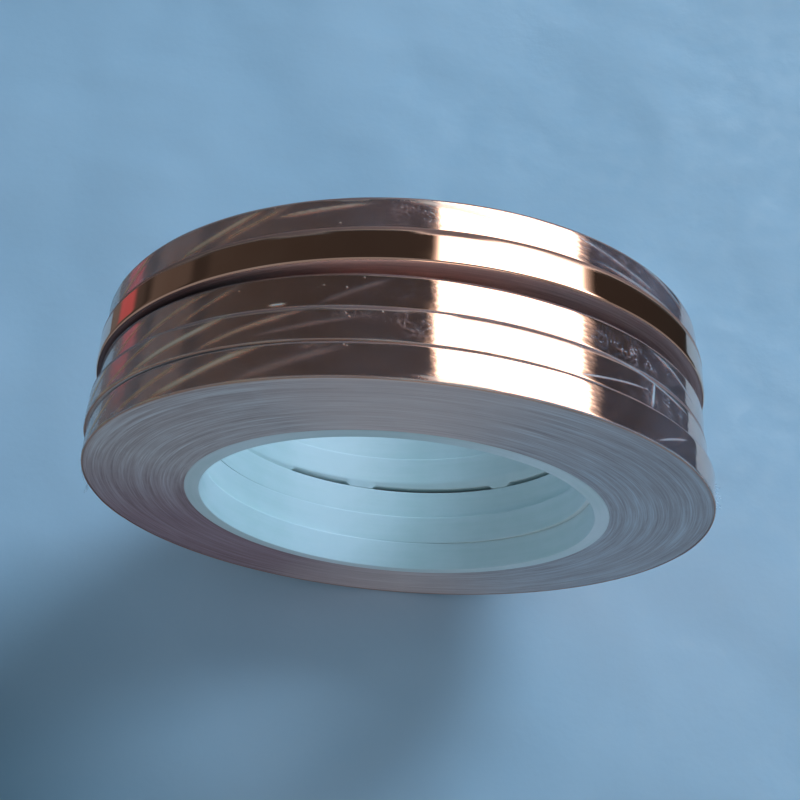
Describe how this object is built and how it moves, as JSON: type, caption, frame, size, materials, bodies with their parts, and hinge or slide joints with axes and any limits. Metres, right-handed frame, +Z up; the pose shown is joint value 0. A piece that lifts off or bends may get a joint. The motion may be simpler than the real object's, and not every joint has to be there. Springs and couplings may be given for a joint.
{
  "type": "copper foil tape roll",
  "caption": "Row of narrow self-adhesive copper foil tape rolls on white plastic cores, standing on their rims, wrapped in clear stretch film apart from an open roll.",
  "frame": {"origin": "the middle of the front roll's bore", "axes": "+Y runs back through the row along the bores, +Z is up; the rims stand 60 mm below the origin"},
  "size_m": [0.1263, 0.0346, 0.12],
  "materials": {
    "core_plastic": "satin, slightly translucent white",
    "wound_edges": "satin, the fine cut edges of copper, adhesive and paper",
    "copper_foil": "bright mirror copper",
    "stretch_film": "clear crinkled stretch film",
    "release_liner": "smooth white paper"
  },
  "bodies": {
    "roll_1": {"roll_1_core": "core_plastic", "roll_1_wound_tape": "wound_edges", "roll_1_outer_turn": "copper_foil", "roll_1_film_wrap": "stretch_film"},
    "roll_2": {"roll_2_core": "core_plastic", "roll_2_wound_tape": "wound_edges", "roll_2_outer_turn": "copper_foil", "roll_2_film_wrap": "stretch_film"},
    "roll_3": {"roll_3_core": "core_plastic", "roll_3_wound_tape": "wound_edges", "roll_3_outer_turn": "copper_foil", "roll_3_film_wrap": "stretch_film"},
    "roll_4": {"roll_4_core": "core_plastic", "roll_4_wound_tape": "wound_edges", "roll_4_outer_turn": "copper_foil"},
    "roll_5": {"roll_5_core": "core_plastic", "roll_5_wound_tape": "wound_edges", "roll_5_outer_turn": "copper_foil", "roll_5_film_wrap": "stretch_film"},
    "roll_1_film_end": {"roll_1_film_end": "stretch_film"},
    "roll_2_film_end": {"roll_2_film_end": "stretch_film"},
    "roll_3_film_end": {"roll_3_film_end": "stretch_film"},
    "roll_5_film_end": {"roll_5_film_end": "stretch_film"},
    "roll_4_tape_end": {"roll_4_tape_end_liner": "release_liner", "roll_4_tape_end_foil": "copper_foil"}
  },
  "joints": [
    {"name": "roll_1_lift", "type": "slide", "parent": "roll_3", "child": "roll_1", "axis": [0, 0, 1], "range_m": [0, 0.13]},
    {"name": "roll_2_lift", "type": "slide", "parent": "roll_3", "child": "roll_2", "axis": [0, 0, 1], "range_m": [0, 0.13]},
    {"name": "roll_4_lift", "type": "slide", "parent": "roll_3", "child": "roll_4", "axis": [0, 0, 1], "range_m": [0, 0.13]},
    {"name": "roll_5_lift", "type": "slide", "parent": "roll_3", "child": "roll_5", "axis": [0, 0, 1], "range_m": [0, 0.13]},
    {"name": "roll_4_tape_end_peel", "type": "hinge", "parent": "roll_4", "child": "roll_4_tape_end", "pos_m": [0.05667, 0.02233, -0.0157], "axis": [0.0332, -0.9995, 0], "range_deg": [0, 75]},
    {"name": "roll_1_film_end_peel", "type": "hinge", "parent": "roll_1", "child": "roll_1_film_end", "pos_m": [-0.06005, 0, 0.0042], "axis": [0, 1, 0], "range_deg": [0, 60]},
    {"name": "roll_2_film_end_peel", "type": "hinge", "parent": "roll_2", "child": "roll_2_film_end", "pos_m": [0.05867, 0.0062, 0.00607], "axis": [0, -1, 0], "range_deg": [0, 60]},
    {"name": "roll_3_film_end_peel", "type": "hinge", "parent": "roll_3", "child": "roll_3_film_end", "pos_m": [-0.04884, 0.0124, -0.03567], "axis": [0, 1, 0], "range_deg": [0, 60]},
    {"name": "roll_5_film_end_peel", "type": "hinge", "parent": "roll_5", "child": "roll_5_film_end", "pos_m": [-0.05573, 0.02481, -0.0249], "axis": [-0.0332, 0.9995, 0], "range_deg": [0, 60]}
  ]
}
